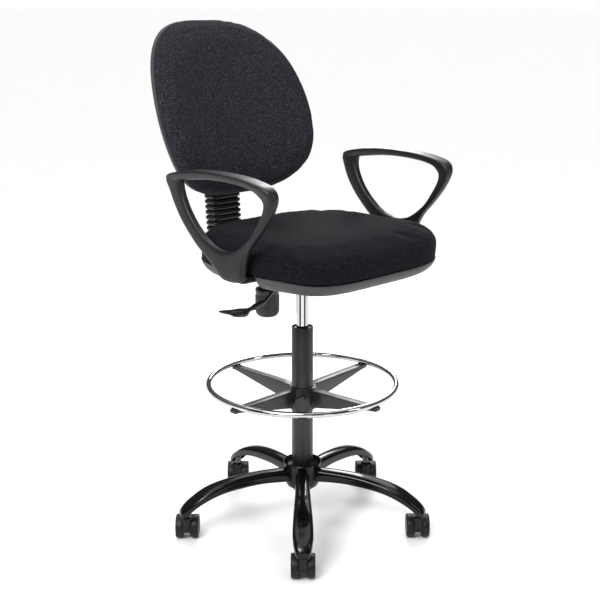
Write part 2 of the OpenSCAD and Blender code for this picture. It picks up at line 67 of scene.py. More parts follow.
def sp(v, e):
    return np.sign(v) * np.abs(v) ** e


def link(name, mesh):
    o = bpy.data.objects.new(name, mesh)
    scene.collection.objects.link(o)
    return o


def from_data(name, verts, faces):
    me = bpy.data.meshes.new(name)
    me.from_pydata([tuple(float(c) for c in v) for v in verts], [], [tuple(int(i) for i in f) for f in faces])
    me.validate()
    me.update()
    return link(name, me)


def orient(o):
    bm = bmesh.new()
    bm.from_mesh(o.data)
    bmesh.ops.remove_doubles(bm, verts=bm.verts, dist=1e-6)
    bmesh.ops.recalc_face_normals(bm, faces=bm.faces)
    bm.to_mesh(o.data)
    bm.free()
    o.data.update()
    return o


def shade(o, angle=35):
    o.data.shade_smooth()
    o.data.set_sharp_from_angle(angle=math.radians(angle))
    return o


def loft(name, rings, cap0=True, cap1=True, loop=False, angle=35):
    """Surface through rings (each n x 3, mm)."""
    r = np.array(rings, float) * MM
    m, n = r.shape[:2]
    verts = list(r.reshape(-1, 3))
    faces = []
    for k in range(m if loop else m - 1):
        k2 = (k + 1) % m
        for i in range(n):
            j = (i + 1) % n
            faces.append((k * n + i, k2 * n + i, k2 * n + j, k * n + j))
    if not loop:
        if cap0:
            verts.append(r[0].mean(0))
            faces += [(len(verts) - 1, i, (i + 1) % n) for i in range(n)]
        if cap1:
            verts.append(r[-1].mean(0))
            faces += [(len(verts) - 1, (m - 1) * n + (i + 1) % n, (m - 1) * n + i) for i in range(n)]
    o = orient(from_data(name, verts, faces))
    return shade(o, angle)


def lathe(name, profile, centre=(0, 0), n=128, closed=True, matrix=None, angle=35, radial=None):
    """profile: (r, z) in mm turned about Z through centre; radial(a, z) adds to r."""
    a = np.linspace(0, 2 * math.pi, n, endpoint=False)
    rings = []
    for r, z in profile:
        rr = np.full(n, float(r)) + (radial(a, z) if radial else 0)
        rings.append(np.stack([centre[0] + rr * np.cos(a), centre[1] + rr * np.sin(a), np.full(n, float(z))], 1))
    o = loft(name, rings, cap0=not closed, cap1=not closed, loop=closed, angle=angle)
    if matrix is not None:
        o.data.transform(matrix)
    return o


def spline(rows, k, closed=False):
    """Catmull-Rom through the rows, k steps a span."""
    p = np.array(rows, float)
    n = len(p)
    out = []
    for i in range(n if closed else n - 1):
        a, b, c, d = (p[(i + q) % n] if closed else p[min(max(i + q, 0), n - 1)] for q in (-1, 0, 1, 2))
        for s in range(k):
            t = s / k
            out.append(0.5 * (2 * b + (c - a) * t + (2 * a - 5 * b + 4 * c - d) * t * t + (3 * b - a - 3 * c + d) * t ** 3))
    if not closed:
        out.append(p[-1])
    return np.array(out)


def use_modifier(o, kind, **settings):
    m = o.modifiers.new(kind.title(), kind)
    for k, v in settings.items():
        setattr(m, k, v)
    return m


def baked(o):
    """The object with its modifiers applied."""
    bpy.context.view_layer.update()
    dg = bpy.context.evaluated_depsgraph_get()
    me = bpy.data.meshes.new_from_object(o.evaluated_get(dg))
    old = o.data
    o.modifiers.clear()
    o.data = me
    bpy.data.meshes.remove(old)
    return o


def bevel(o, mm, angle=32, seg=2):
    use_modifier(o, "BEVEL", width=mm * MM, segments=seg, limit_method="ANGLE", angle_limit=math.radians(angle),
                 harden_normals=False, use_clamp_overlap=True)
    baked(o)
    o.data.shade_smooth()
    o.data.set_sharp_from_angle(angle=math.radians(40))
    return o


def clone(node, mm=0.8, angle=32, name=None, seg=2):
    """A copy of a CAD node with its edges broken, standing for that node."""
    me = nodes[node].data.copy()
    o = link(name or node + "_finish", me)
    bm = bmesh.new()
    bm.from_mesh(me)
    bmesh.ops.remove_doubles(bm, verts=bm.verts, dist=2e-6)
    bmesh.ops.dissolve_limit(bm, angle_limit=math.radians(0.6), verts=bm.verts, edges=bm.edges)
    bm.to_mesh(me)
    bm.free()
    if mm:
        bevel(o, mm, angle, seg)
    else:
        shade(o, 35)
    return stand(o, node)


def stand(o, node, *more, mat=None, body=None):
    if len(o.data.materials) != 1 or mat:
        o.data.materials.clear()
        o.data.materials.append(M[mat or slot_of[node]])
    else:
        o.data.materials[0] = M[slot_of[node]]
    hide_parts(node, *more)
    if body != "blend":
        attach(o, body or node_body[node])
    return o


def extra(o, node, mat=None):
    """A further piece that rides with a node."""
    o.data.materials.clear()
    o.data.materials.append(M[mat or slot_of[node]])
    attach(o, node_body[node])
    return o


def cut(o, lo, hi):
    """Takes a box, given in mm, out of o."""
    bm = bmesh.new()
    bmesh.ops.create_cube(bm, size=1.0)
    me = bpy.data.meshes.new("cutter")
    bm.to_mesh(me)
    bm.free()
    c = link("cutter", me)
    lo, hi = np.array(lo) * MM, np.array(hi) * MM
    me.transform(Matrix.Translation(Vector((lo + hi) / 2)) @ Matrix.Diagonal((*(hi - lo), 1)))
    use_modifier(c, "BEVEL", width=0.006, segments=3)
    baked(c)
    use_modifier(o, "BOOLEAN", operation="DIFFERENCE", object=c, solver="EXACT")
    baked(o)
    bpy.data.objects.remove(c)
    return o


# ------------------------------------------------------------------ materials
def material(name, base, rough, metal=0.0, coat=0.0, coat_rough=0.05, sheen=0.0, spec=0.5,
             noise=None, bump=None, rough_var=0.0, speck=None, weave=None, wear=None):
    m = bpy.data.materials.new(name)
    m.use_nodes = True
    nt = m.node_tree
    b = nt.nodes["Principled BSDF"]
    b.inputs["Base Color"].default_value = (*base, 1)
    b.inputs["Roughness"].default_value = rough
    b.inputs["Metallic"].default_value = metal
    b.inputs["Coat Weight"].default_value = coat
    b.inputs["Coat Roughness"].default_value = coat_rough
    b.inputs["Sheen Weight"].default_value = sheen
    b.inputs["Sheen Roughness"].default_value = 0.45
    b.inputs["Specular IOR Level"].default_value = spec
    tc = nt.nodes.new("ShaderNodeTexCoord")

    def tex(scale, detail=2.0, rough=0.5):
        t = nt.nodes.new("ShaderNodeTexNoise")
        t.inputs["Scale"].default_value = scale
        t.inputs["Detail"].default_value = detail
        t.inputs["Roughness"].default_value = rough
        nt.links.new(tc.outputs["Object"], t.inputs["Vector"])
        return t.outputs["Fac"]

    def ramp(src, stops):
        r = nt.nodes.new("ShaderNodeValToRGB")
        while len(r.color_ramp.elements) < len(stops):
            r.color_ramp.elements.new(0.5)
        for e, (p, c) in zip(r.color_ramp.elements, stops):
            e.position = p
            e.color = (*c, 1) if hasattr(c, "__len__") else (c, c, c, 1)
        nt.links.new(src, r.inputs["Fac"])
        return r.outputs["Color"]

    def math_node(op, a, c):
        n = nt.nodes.new("ShaderNodeMath")
        n.operation = op
        for i, v in enumerate((a, c)):
            if isinstance(v, (int, float)):
                n.inputs[i].default_value = v
            else:
                nt.links.new(v, n.inputs[i])
        return n.outputs[0]

    colour = None
    if noise:  # (scale, low factor, high factor)
        s, lo, hi = noise
        colour = ramp(tex(s, 4.0, 0.6), [(0.3, tuple(c * lo for c in base)), (0.7, tuple(c * hi for c in base))])
    if speck:  # (scale, threshold, colour)
        s, th, col = speck
        f = ramp(tex(s, 1.0, 0.5), [(th, 0.0), (min(1, th + 0.12), 1.0)])
        mx = nt.nodes.new("ShaderNodeMix")
        mx.data_type = "RGBA"
        nt.links.new(f, mx.inputs["Factor"])
        if colour is not None:
            nt.links.new(colour, mx.inputs["A"])
        else:
            mx.inputs["A"].default_value = (*base, 1)
        mx.inputs["B"].default_value = (*col, 1)
        colour = mx.outputs["Result"]
    if wear:  # (low, high): lighter on raised edges
        g = nt.nodes.new("ShaderNodeNewGeometry")
        f = ramp(g.outputs["Pointiness"], [(wear[0], 0.0), (wear[1], 1.0)])
        mx = nt.nodes.new("ShaderNodeMix")
        mx.data_type = "RGBA"
        nt.links.new(f, mx.inputs["Factor"])
        if colour is not None:
            nt.links.new(colour, mx.inputs["A"])
        else:
            mx.inputs["A"].default_value = (*base, 1)
        mx.inputs["B"].default_value = (*wear[2], 1)
        colour = mx.outputs["Result"]
    if colour is not None:
        nt.links.new(colour, b.inputs["Base Color"])
    if rough_var:
        r = ramp(tex(35.0, 3.0), [(0.3, rough - rough_var), (0.7, rough + rough_var)])
        nt.links.new(r, b.inputs["Roughness"])
    h = None
    if weave:  # (threads per metre, share)
        waves = []
        for axis in ("X", "Y", "Z"):
            w = nt.nodes.new("ShaderNodeTexWave")
            w.wave_type = "BANDS"
            w.bands_direction = axis
            w.inputs["Scale"].default_value = weave[0] / 20.0 * 1.0
            w.inputs["Distortion"].default_value = 1.2
            w.inputs["Detail"].default_value = 1.0
            nt.links.new(tc.outputs["Object"], w.inputs["Vector"])
            waves.append(w.outputs["Fac"])
        h = math_node("ADD", math_node("ADD", waves[0], waves[1]), waves[2])
        h = math_node("MULTIPLY", h, weave[1])
    if bump:  # (scale, strength, distance)
        t = tex(bump[0], 3.0, 0.6)
        h = math_node("ADD", h, t) if h is not None else t
        bn = nt.nodes.new("ShaderNodeBump")
        bn.inputs["Strength"].default_value = bump[1]
        bn.inputs["Distance"].default_value = bump[2]
        nt.links.new(h, bn.inputs["Height"])
        nt.links.new(bn.outputs["Normal"], b.inputs["Normal"])
        if coat:
            nt.links.new(bn.outputs["Normal"], b.inputs["Coat Normal"])
    return m


M = {
    "gloss_black_steel": material("gloss_black_steel", (0.0022, 0.0022, 0.0027), 0.15, coat=0.1, spec=0.26, noise=(60, 0.8, 1.3), bump=(45, 0.08, 0.0006), rough_var=0.03),
    "satin_black_steel": material("satin_black_steel", (0.012, 0.012, 0.0135), 0.4, noise=(300, 0.75, 1.3), bump=(1500, 0.15, 0.0002), rough_var=0.05),
    "zinc_steel": material("zinc_steel", (0.55, 0.55, 0.57), 0.34, metal=1.0, noise=(220, 0.8, 1.1), bump=(900, 0.1, 0.0002), rough_var=0.06),
    "chrome_plate": material("chrome_plate", (0.57, 0.57, 0.59), 0.06, metal=1.0, noise=(25, 0.96, 1.02), bump=(30, 0.03, 0.0004), rough_var=0.02),
    "black_nylon": material("black_nylon", (0.014, 0.014, 0.015), 0.38, noise=(200, 0.8, 1.3), bump=(1400, 0.2, 0.0002), rough_var=0.05),
    "ribbed_black_plastic": material("ribbed_black_plastic", (0.016, 0.016, 0.018), 0.36, noise=(220, 0.8, 1.3), bump=(1600, 0.2, 0.0002), rough_var=0.05),
    "black_rod": material("black_rod", (0.014, 0.014, 0.015), 0.28, noise=(150, 0.8, 1.3), bump=(800, 0.08, 0.0002), rough_var=0.04),
    "dark_zinc": material("dark_zinc", (0.10, 0.10, 0.105), 0.3, metal=1.0, noise=(220, 0.7, 1.3), bump=(900, 0.1, 0.0002), rough_var=0.05),
    "plywood": material("plywood", (0.46, 0.31, 0.17), 0.6, noise=(40, 0.75, 1.15), bump=(300, 0.2, 0.0003)),
    "charcoal_fabric": material("charcoal_fabric", (0.0042, 0.0042, 0.0060), 0.95, sheen=0.03, spec=0.06, noise=(420, 0.5, 1.7), speck=(620, 0.58, (0.028, 0.029, 0.040)), weave=(1500, 0.35), bump=(1300, 0.6, 0.0007)),
    # same charcoal fabric as the seat, base and specks painted about three times lighter: painted light standing
    # for the light on the back cushion's front face
    "charcoal_fabric_back_painted_lit": material("charcoal_fabric_back_painted_lit", (0.0128, 0.0128, 0.0160), 0.95, sheen=0.03, spec=0.06, noise=(420, 0.5, 1.7), speck=(520, 0.56, (0.074, 0.075, 0.100)), weave=(1500, 0.35), bump=(1300, 0.6, 0.0007)),
    "shell_plastic": material("shell_plastic", (0.043, 0.043, 0.047), 0.48, spec=0.35, noise=(500, 0.85, 1.15), bump=(1600, 0.25, 0.00025), rough_var=0.04),
    "arm_plastic": material("arm_plastic", (0.0080, 0.0080, 0.0096), 0.4, spec=0.36, noise=(500, 0.8, 1.2), bump=(1500, 0.25, 0.00025), rough_var=0.04),
    "boot_rubber": material("boot_rubber", (0.009, 0.009, 0.010), 0.22, spec=0.4, noise=(120, 0.8, 1.3), bump=(500, 0.08, 0.0003), rough_var=0.04),
    "caster_nylon": material("caster_nylon", (0.0050, 0.0050, 0.0060), 0.45, spec=0.28, noise=(400, 0.8, 1.25), bump=(1500, 0.25, 0.00025), rough_var=0.05),
    "wheel_nylon": material("wheel_nylon", (0.0050, 0.0050, 0.0060), 0.42, spec=0.28, noise=(400, 0.8, 1.3), bump=(1500, 0.25, 0.00025), rough_var=0.05),
}
for n, o in nodes.items():
    o.data.materials.clear()
    o.data.materials.append(M["dark_zinc" if n.startswith("caster_s") else slot_of[n]])
    shade(o, 32)


# ------------------------------------------------------------------ soft parts
def remesh(o, voxel):
    use_modifier(o, "REMESH", mode="VOXEL", voxel_size=voxel)
    return baked(o)


def get_co(me):
    co = np.empty(len(me.vertices) * 3)
    me.vertices.foreach_get("co", co)
    return co.reshape(-1, 3)


def get_no(me):
    no = np.empty(len(me.vertices) * 3)
    me.vertices.foreach_get("normal", no)
    return no.reshape(-1, 3)


def set_co(me, co):
    me.vertices.foreach_set("co", np.asarray(co, np.float64).ravel())
    me.update()


def relax(o, rounds, factor=0.5):
    me = o.data
    e = np.empty(len(me.edges) * 2, np.int64)
    me.edges.foreach_get("vertices", e)
    e = e.reshape(-1, 2)
    co = get_co(me)
    deg = np.bincount(e.ravel(), minlength=len(co)).astype(float)[:, None]
    for _ in range(rounds):
        acc = np.zeros_like(co)
        np.add.at(acc, e[:, 0], co[e[:, 1]])
        np.add.at(acc, e[:, 1], co[e[:, 0]])
        co = co + factor * (acc / np.maximum(deg, 1) - co)
    set_co(me, co)


def puff(o, pressure, cap, hold):
    """Cloth under pressure for 20 frames, no point moving more than cap; hold(co) gives pinned weights."""
    me = o.data
    rest = get_co(me)
    w = hold(rest)
    g = o.vertex_groups.new(name="pin")
    for level in np.unique(np.round(w, 1)):
        if level > 0:
            g.add([int(i) for i in np.nonzero(np.round(w, 1) == level)[0]], float(level), "REPLACE")
    c = o.modifiers.new("Cloth", "CLOTH")
    s = c.settings
    s.quality = 4
    s.mass = 0.3
    s.tension_stiffness = 18
    s.compression_stiffness = 18
    s.shear_stiffness = 6
    s.bending_stiffness = 0.6
    s.use_pressure = True
    s.uniform_pressure_force = pressure
    s.effector_weights.gravity = 0.0
    s.vertex_group_mass = "pin"
    c.point_cache.frame_start, c.point_cache.frame_end = 1, 20
    for f in range(1, 21):
        scene.frame_set(f)
    dg = bpy.context.evaluated_depsgraph_get()
    got = get_co(o.evaluated_get(dg).data)
    o.modifiers.clear()
    scene.frame_set(1)
    d = got - rest
    length = np.linalg.norm(d, axis=1, keepdims=True)
    set_co(me, rest + d * np.minimum(1.0, cap / np.maximum(length, 1e-9)))
    o.vertex_groups.clear()


def groove(o, line, depth, width):
    """Presses a sewn line into the surface. line in mm."""
    kd = kdtree.KDTree(len(line))
    for i, p in enumerate(np.asarray(line) * MM):
        kd.insert(Vector(p), i)
    kd.balance()
    me = o.data
    co, no = get_co(me), get_no(me)
    d = np.array([kd.find(Vector(p))[2] for p in co])
    set_co(me, co - no * (depth * MM * np.exp(-(d / (width * MM)) ** 2))[:, None])


SEAT_A, SEAT_C, FRONT, REAR, LINE, DROP, MID = 254.0, 244.0, -260.0, 186.0, 683.0, 17.0, -30.0


def seat_ring(s, dz, n=96, grow=0.0):
    t = np.linspace(0, 2 * math.pi, n, endpoint=False) + math.pi / n
    e = np.where(np.sin(t) < 0, 4.2, 2.76)
    vx, vy = sp(np.cos(t), 2 / e), sp(np.sin(t), 2 / e)
    y = MID + s * vy * np.where(vy < 0, MID - FRONT + grow, REAR - MID + grow)
    x = s * vx * ((SEAT_A + SEAT_C) / 2 - vy * (SEAT_A - SEAT_C) / 2 + grow)
    z = LINE - DROP * smooth((-y - 164) / 130) + dz
    return np.stack([x, y, z], 1)


def dish(co_mm):
    """Hollow of the sitting surface."""
    x, y, z = co_mm.T
    return -5.0 * np.exp(-((x / 120) ** 2 + ((y + 5) / 110) ** 2) ** 1.2)


rings = [seat_ring(s, dz, grow=-2.5) for s, dz in
         ((0.25, 0.5), (0.5, 0.5), (0.75, 0.5), (0.9, 0.5), (0.925, -1), (0.932, -10.5), (0.945, -13.6), (0.968, -13.2), (0.983, -9), (0.992, -1), (0.998, 9), (1.0, 18), (0.996, 28),
          (0.977, 37), (0.943, 43.5), (0.88, 48), (0.78, 50.5), (0.6, 51.5), (0.4, 51.5), (0.2, 51.5))]
seat_pad = loft("seat_pad", rings)
remesh(seat_pad, 0.0055)
relax(seat_pad, 3)
puff(seat_pad, 4.0, 0.0045, lambda c: (c[:, 2] < (0.6715 - 0.017 * smooth((-c[:, 1] * 1000 - 164) / 130) + 0.003)).astype(float))
relax(seat_pad, 2)
co = get_co(seat_pad.data) * 1000
top = smooth((co[:, 2] - 712) / 12)
co[:, 2] += top * dish(co)
set_co(seat_pad.data, co * MM)
use_modifier(seat_pad, "SUBSURF", levels=1, render_levels=1)
baked(seat_pad)
seat_pad.data.shade_smooth()
stand(seat_pad, "seat_cushion")

BW, BH, BZ, WRAP = 228.7, 204.3, 980.6, 50.0


def back_yc(z):
    q = z - 761.5
    return 181.3 + np.where(q < 0, 0, np.where(q < 150, 0.0012 * q * q, 27 + 0.36 * (q - 150)))


def back_ring(s, off, n=96, hump=0.0, grow=0.0):
    t = np.linspace(0, 2 * math.pi, n, endpoint=False) + math.pi / n
    e = np.where(np.cos(t) > 0, 2.89, 2.83)
    v, u = sp(np.cos(t), 2 / e), sp(np.sin(t), 2 / e)
    z = BZ + s * (BH + grow) * v
    x = s * (BW + grow) * u * (1 - np.where(v > 0, 0.11, -0.017) * v)
    y = back_yc(z) - WRAP * (x / 220) ** 2 + off
    if hump:
        y = y + hump * 52 * smooth((1 - np.abs(x) / 105) * 1.6) * smooth((985 - z) / 100)
    return np.stack([x, y, z], 1)


rings = [back_ring(s, off) for s, off in
         ((0.2, -1), (0.45, -1), (0.6, -0.5), (0.7, 0), (0.8, 0.5), (0.85, 1), (0.885, 2.5), (0.91, 6), (0.94, 12), (0.965, 19), (0.985, 26),
          (0.997, 32), (0.995, 37), (0.985, 41), (0.96, 42.5), (0.9, 42.7), (0.6, 42.7), (0.2, 42.7))]
back_pad = loft("back_pad", rings)
remesh(back_pad, 0.0055)
relax(back_pad, 3)
puff(back_pad, 4.0, 0.0045, lambda c: (c[:, 1] * 1000 > back_yc(c[:, 2] * 1000) - WRAP * (c[:, 0] * 1000 / 220) ** 2 + 38).astype(float))
relax(back_pad, 2)
use_modifier(back_pad, "SUBSURF", levels=1, render_levels=1)
baked(back_pad)
groove(back_pad, back_ring(0.885, 2.5, 360), 2.6, 6.5)
back_pad.data.shade_smooth()
# the back cushion takes the lighter copy of the seat fabric, which is painted light on its front face
stand(back_pad, "back_cushion", mat="charcoal_fabric_back_painted_lit")

# ------------------------------------------------------------------ shells
hole_t = np.linspace(0, 2 * math.pi, 96, endpoint=False) + math.pi / 96


def hole_ring(dz):
    return np.stack([100 * sp(np.cos(hole_t), 0.4), 27 + 130 * sp(np.sin(hole_t), 0.4), np.full(96, LINE + dz)], 1)


outer = [hole_ring(-43), seat_ring(0.7, -43), seat_ring(0.82, -43), seat_ring(0.86, -42.2), seat_ring(0.89, -39.8), seat_ring(0.913, -36.2),
         seat_ring(0.935, -31), seat_ring(0.952, -25.5), seat_ring(0.963, -20), seat_ring(0.969, -15), seat_ring(0.970, -12.9), seat_ring(0.967, -12.2)]
inner = [seat_ring(0.959, -12.2), seat_ring(0.956, -15), seat_ring(0.938, -25), seat_ring(0.888, -36), seat_ring(0.84, -40),
         seat_ring(0.7, -40), hole_ring(-40)]
shell = loft("seat_under_shell", outer + inner, loop=True, angle=50)
for s in (-1, 1):
    cut(shell, (min(s * 160, s * 300), -108, 600), (max(s * 160, s * 300), -37, 671.5))
shade(shell, 50)
stand(shell, "seat_shell")

outer = [back_ring(s, o_, hump=h) for s, o_, h in
         ((0.94, 44.3, 0), (0.962, 44.3, 0), (0.968, 45.5, 0), (0.973, 50, 0), (0.97, 54, 0), (0.958, 57.5, 0.0), (0.935, 60, 0.3),
          (0.9, 62, 1), (0.85, 63, 1), (0.8, 63.5, 1), (0.74, 63.8, 1), (0.68, 64, 1), (0.6, 64, 1), (0.55, 64, 1), (0.48, 64, 1), (0.42, 64, 1), (0.36, 64, 1),
          (0.3, 64, 1), (0.2, 64, 1), (0.1, 64, 1))]
inner = [back_ring(s, o_, hump=h) for s, o_, h in
         ((0.1, 61, 1), (0.2, 61, 1), (0.3, 61, 1), (0.42, 61, 1), (0.55, 61, 1), (0.68, 61, 1), (0.8, 60.5, 1), (0.89, 59, 1), (0.94, 55, 0), (0.955, 50, 0), (0.95, 46, 0))]
r = outer
n_ = 96
shell_b = loft("back_rear_shell", outer + inner, cap0=False, cap1=False, loop=True, angle=50)
cut(shell_b, (-46, 246, 700), (46, 336, 800))
shade(shell_b, 50)
stand(shell_b, "back_shell")

# ------------------------------------------------------------------ arms
LOOP = [  # outer y, z, inner y, z, outer width, inner width, centre x
    (129, 853, 84, 852, 30, 20, 274), (117, 867, 78, 856, 36, 22, 275), (58, 879, 48, 860, 42, 24, 276), (0, 884.5, -2, 866, 42, 24, 276),
    (-60, 885, -58, 867.5, 42, 24, 276), (-120, 882, -115, 864, 42, 24, 276), (-172, 873.5, -150, 857, 41, 23, 276),
    (-195, 864, -164, 848, 34, 21, 275), (-204, 850, -172, 838, 27, 19, 273), (-201, 832, -171, 822, 22, 18, 272),
    (-184, 802, -158, 797, 19, 18, 271), (-155, 767, -135, 764, 18, 18, 271), (-131, 741, -108, 741, 18, 18, 271),
    (-115, 714, -84, 727, 18, 18, 271), (-108, 684, -72, 724, 18, 18, 271), (-104, 665, -62, 722, 18, 18, 271),
    (-76, 658, -50, 721, 18, 18, 271), (-42, 660, -38, 722, 18, 18, 271), (-24, 675, -24, 725, 18, 18, 271),
    (-2, 693, -10, 729, 18, 18, 271), (22, 709, 4, 736, 18, 18, 271), (45, 726, 16, 744, 18, 18, 271),
    (84, 764, 42, 766, 18, 18, 271), (110, 800, 66, 795, 19, 18, 271), (124, 833, 82, 828, 23, 18, 272)]
path = spline(LOOP, 4, closed=True)
for side, node in ((1, "arm_left"), (-1, "arm_right")):
    rings = []
    for oy, oz, iy, iz, wo, wi, xc in path:
        t = np.linspace(0, 2 * math.pi, 28, endpoint=False)
        v = sp(np.cos(t), 2 / 3.6)  # +1 outer, -1 inner
        u = sp(np.sin(t), 2 / 3.6)
        f = (v + 1) / 2
        w = (wi + (wo - wi) * f ** 0.7) / 2
        rings.append(np.stack([side * (xc + u * w), iy + (oy - iy) * f, iz + (oz - iz) * f], 1))
    arm = loft(node + "_loop", rings, loop=True, angle=60)
    use_modifier(arm, "SUBSURF", levels=1, render_levels=1)
    baked(arm)
    arm.data.shade_smooth()
    stand(arm, node)
    foot = []
    for x, y0, y1, z0, z1 in ((172, -99, -45, 658.5, 669), (174, -102, -42, 657.5, 670), (200, -102, -42, 657.2, 670.2), (240, -102, -42, 657.2, 670.2),
                              (262, -102, -42, 657.4, 670.2), (268, -100, -44, 658, 669)):
        t = np.linspace(0, 2 * math.pi, 32, endpoint=False)
        foot.append(np.stack([np.full(32, side * x), (y0 + y1) / 2 + (y1 - y0) / 2 * sp(np.cos(t), 2 / 9), (z0 + z1) / 2 + (z1 - z0) / 2 * sp(np.sin(t), 2 / 6)], 1))
    extra(loft(node + "_foot", foot, angle=50), node)

# ------------------------------------------------------------------ base
STATIONS = [(38, 147, 118, 33), (100, 146, 121, 34), (150, 142, 118, 37), (190, 135, 113, 41), (220, 127, 105, 44), (245, 116, 95, 46),
            (265, 103, 84, 46), (280, 93, 72, 42), (291, 84, 62, 36), (297, 77, 59, 30), (300, 72, 59, 24)]
rows = spline(STATIONS, 5)
sec_t = np.linspace(-math.pi / 2, math.pi / 2, 23)
rings = []
for r_, zt, zb, w in rows:
    h = zt - zb
    zs = zb + 0.42 * h
    up, side_ = sp(np.cos(sec_t), 2 / 2.7), sp(np.sin(sec_t), 2 / 2.7)
    arc = np.stack([np.full(23, r_), w / 2 * side_, zs + (zt - zs) * up], 1)
    legs_ = np.array([[r_, -w / 2 * 0.97, zb], [r_, -w / 2 * 0.99, zb + 0.2 * h]]), np.array([[r_, w / 2 * 0.99, zb + 0.2 * h], [r_, w / 2 * 0.97, zb]])
    rings.append(np.concatenate([legs_[0], arc, legs_[1]]))
rings = np.array(rings)
m_, n_ = rings.shape[:2]
verts = list(rings.reshape(-1, 3) * MM)
faces = [(k * n_ + i, (k + 1) * n_ + i, (k + 1) * n_ + i + 1, k * n_ + i + 1) for k in range(m_ - 1) for i in range(n_ - 1)]
faces.append(tuple((m_ - 1) * n_ + i for i in range(n_)))
leg_mesh_verts, leg_mesh_faces = verts, faces
leg_objs = []
for i in range(5):
    leg = from_data(f"leg_{i + 1}", leg_mesh_verts, leg_mesh_faces)
    orient(leg)
    use_modifier(leg, "SOLIDIFY", thickness=0.0024, offset=-1.0)
    use_modifier(leg, "BEVEL", width=0.0008, segments=2, limit_method="ANGLE", angle_limit=math.radians(40))
    baked(leg)
    leg.data.transform(Matrix.Rotation(math.radians(-134.2 + 72 * i), 4, "Z"))
    shade(leg, 40)
    leg.data.materials.append(M["gloss_black_steel"])
    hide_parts("base_legs")
    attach(leg, "base")

hub = lathe("hub_cup", [(25, 98), (30, 98), (33, 98.8), (37, 102), (39.8, 107.5), (41, 114), (41.2, 130), (41, 148), (42.6, 152.5), (45, 157), (45.6, 159.5), (45.2, 161.4),
                        (44, 162.2), (42.8, 161.4), (40.6, 156), (38, 151.6), (35, 149.6), (28.5, 148.2), (26.5, 147), (25, 145)], angle=50)
stand(hub, "base_hub")
col = lathe("column_finish", [(22.5, 92), (24.3, 92), (25, 92.8), (25, 300), (25, 493.6), (24.6, 494.7), (24, 495), (23.3, 494.8), (22.5, 493.8), (22.5, 300)], angle=50)
stand(col, "column_tube")
clone("guide_sleeve", 0.6)
clone("caster_sockets", 0.6).data.materials[0] = M["dark_zinc"]

# ------------------------------------------------------------------ casters
def merged(name, objs):
    bm = bmesh.new()
    for o in objs:
        bm.from_mesh(o.data)
    me = bpy.data.meshes.new(name)
    bm.to_mesh(me)
    bm.free()
    for o in objs:
        bpy.data.objects.remove(o)
    return link(name, me)


axle = Matrix.Translation((0, 0.018, 0.025)) @ Matrix.Rotation(math.pi / 2, 4, "Y")
core = lathe("hood_core", [(0.01, -10.2), (27.4, -10.2), (28, -9.6), (28, 9.6), (27.4, 10.2), (0.01, 10.2)], closed=False, matrix=axle, n=96)
cut(core, (-9.2, -60, -30), (9.2, 100, 20))
covers = [lathe(f"hood_cover_{k}", [(0.01, k * 25.8), (25.7, k * 25.8), (25.7, k * 10.25), (27.2, k * 10.25), (28, k * 11), (28, k * 23.6), (27.6, k * 25.4),
                                     (26.6, k * 26.5), (25, k * 27), (0.01, k * 27)], closed=True, matrix=axle, n=96) for k in (-1, 1)]
for o in [core] + covers:
    cut(o, (-80, -80, -60), (80, 120, 6))
collar = lathe("hood_collar", [(0.01, 30), (12.6, 30), (12.6, 50), (13.4, 51), (13.4, 54.4), (12.6, 56.2), (11, 57), (0.01, 57)], closed=False, n=64)
hood = merged("hood_seed_parts", [core] + covers + [collar])
bevel(hood, 0.7, 40)
base_c = {}
for i in range(1, 6):
    th = math.radians(-134.2 + 72 * (i - 1))
    base_c[i] = Vector((0.285 * math.cos(th), 0.285 * math.sin(th), 0))
for i in range(1, 6):
    me = hood.data.copy()
    me.transform(Matrix.Translation(base_c[i]) @ Matrix.Rotation(math.radians(-44.5), 4, "Z"))
    o = link(f"hood_{i}", me)
    stand(o, f"caster_hood_{i}")
    for s in ("left", "right"):
        clone(f"wheel_{s}_{i}", 0.9)
bpy.data.objects.remove(hood)

# ------------------------------------------------------------------ foot ring
ring = []
for a in np.linspace(0, 2 * math.pi, 224, endpoint=False):
    t = np.linspace(0, 2 * math.pi, 28, endpoint=False)
    rr = 219.5 + 7 * np.cos(t)
    ring.append(np.stack([rr * np.cos(a), rr * np.sin(a), 358 + 7 * np.sin(t)], 1))
stand(loft("ring_chrome", ring, loop=True, angle=60), "ring_tube")
clone("ring_spider", 1.2)
clone("ring_bush", 0.5)
clone("ring_caps", 1.0)
clone("ring_screws", 0.4)
kd_ = math.radians(-134.5)
axis_m = Matrix.Translation((0, 0, 0.32)) @ Matrix.Rotation(kd_, 4, "Z") @ Matrix.Rotation(math.pi / 2, 4, "Y")


def lobes(a, z):
    return (1.6 if z >= 46 else 0.0) * np.cos(8 * a)


kn = lathe("clamp_knob", [(0.01, 28.8), (4, 28.8), (4, 44.3), (10, 44.3), (10, 46.01), (18.4, 46.01), (20.4, 46.8), (21.2, 48.6), (21.2, 59), (20.6, 61), (18.8, 62), (15.5, 62),
                          (14.6, 61.4), (14, 60.4), (0.01, 60.2)], closed=False, matrix=axis_m, radial=lambda a, z: lobes(a, z), angle=45)
stand(kn, "ring_knob")

# ------------------------------------------------------------------ mechanism, knob, lever
clone("mechanism_housing", 1.0)


def flutes(a, z):
    depth = 1.7 * float(smooth((z - 500) / 8) * (1 - smooth((z - 548) / 6)))
    return depth * (0.5 + 0.5 * np.cos(24 * a)) ** 0.7


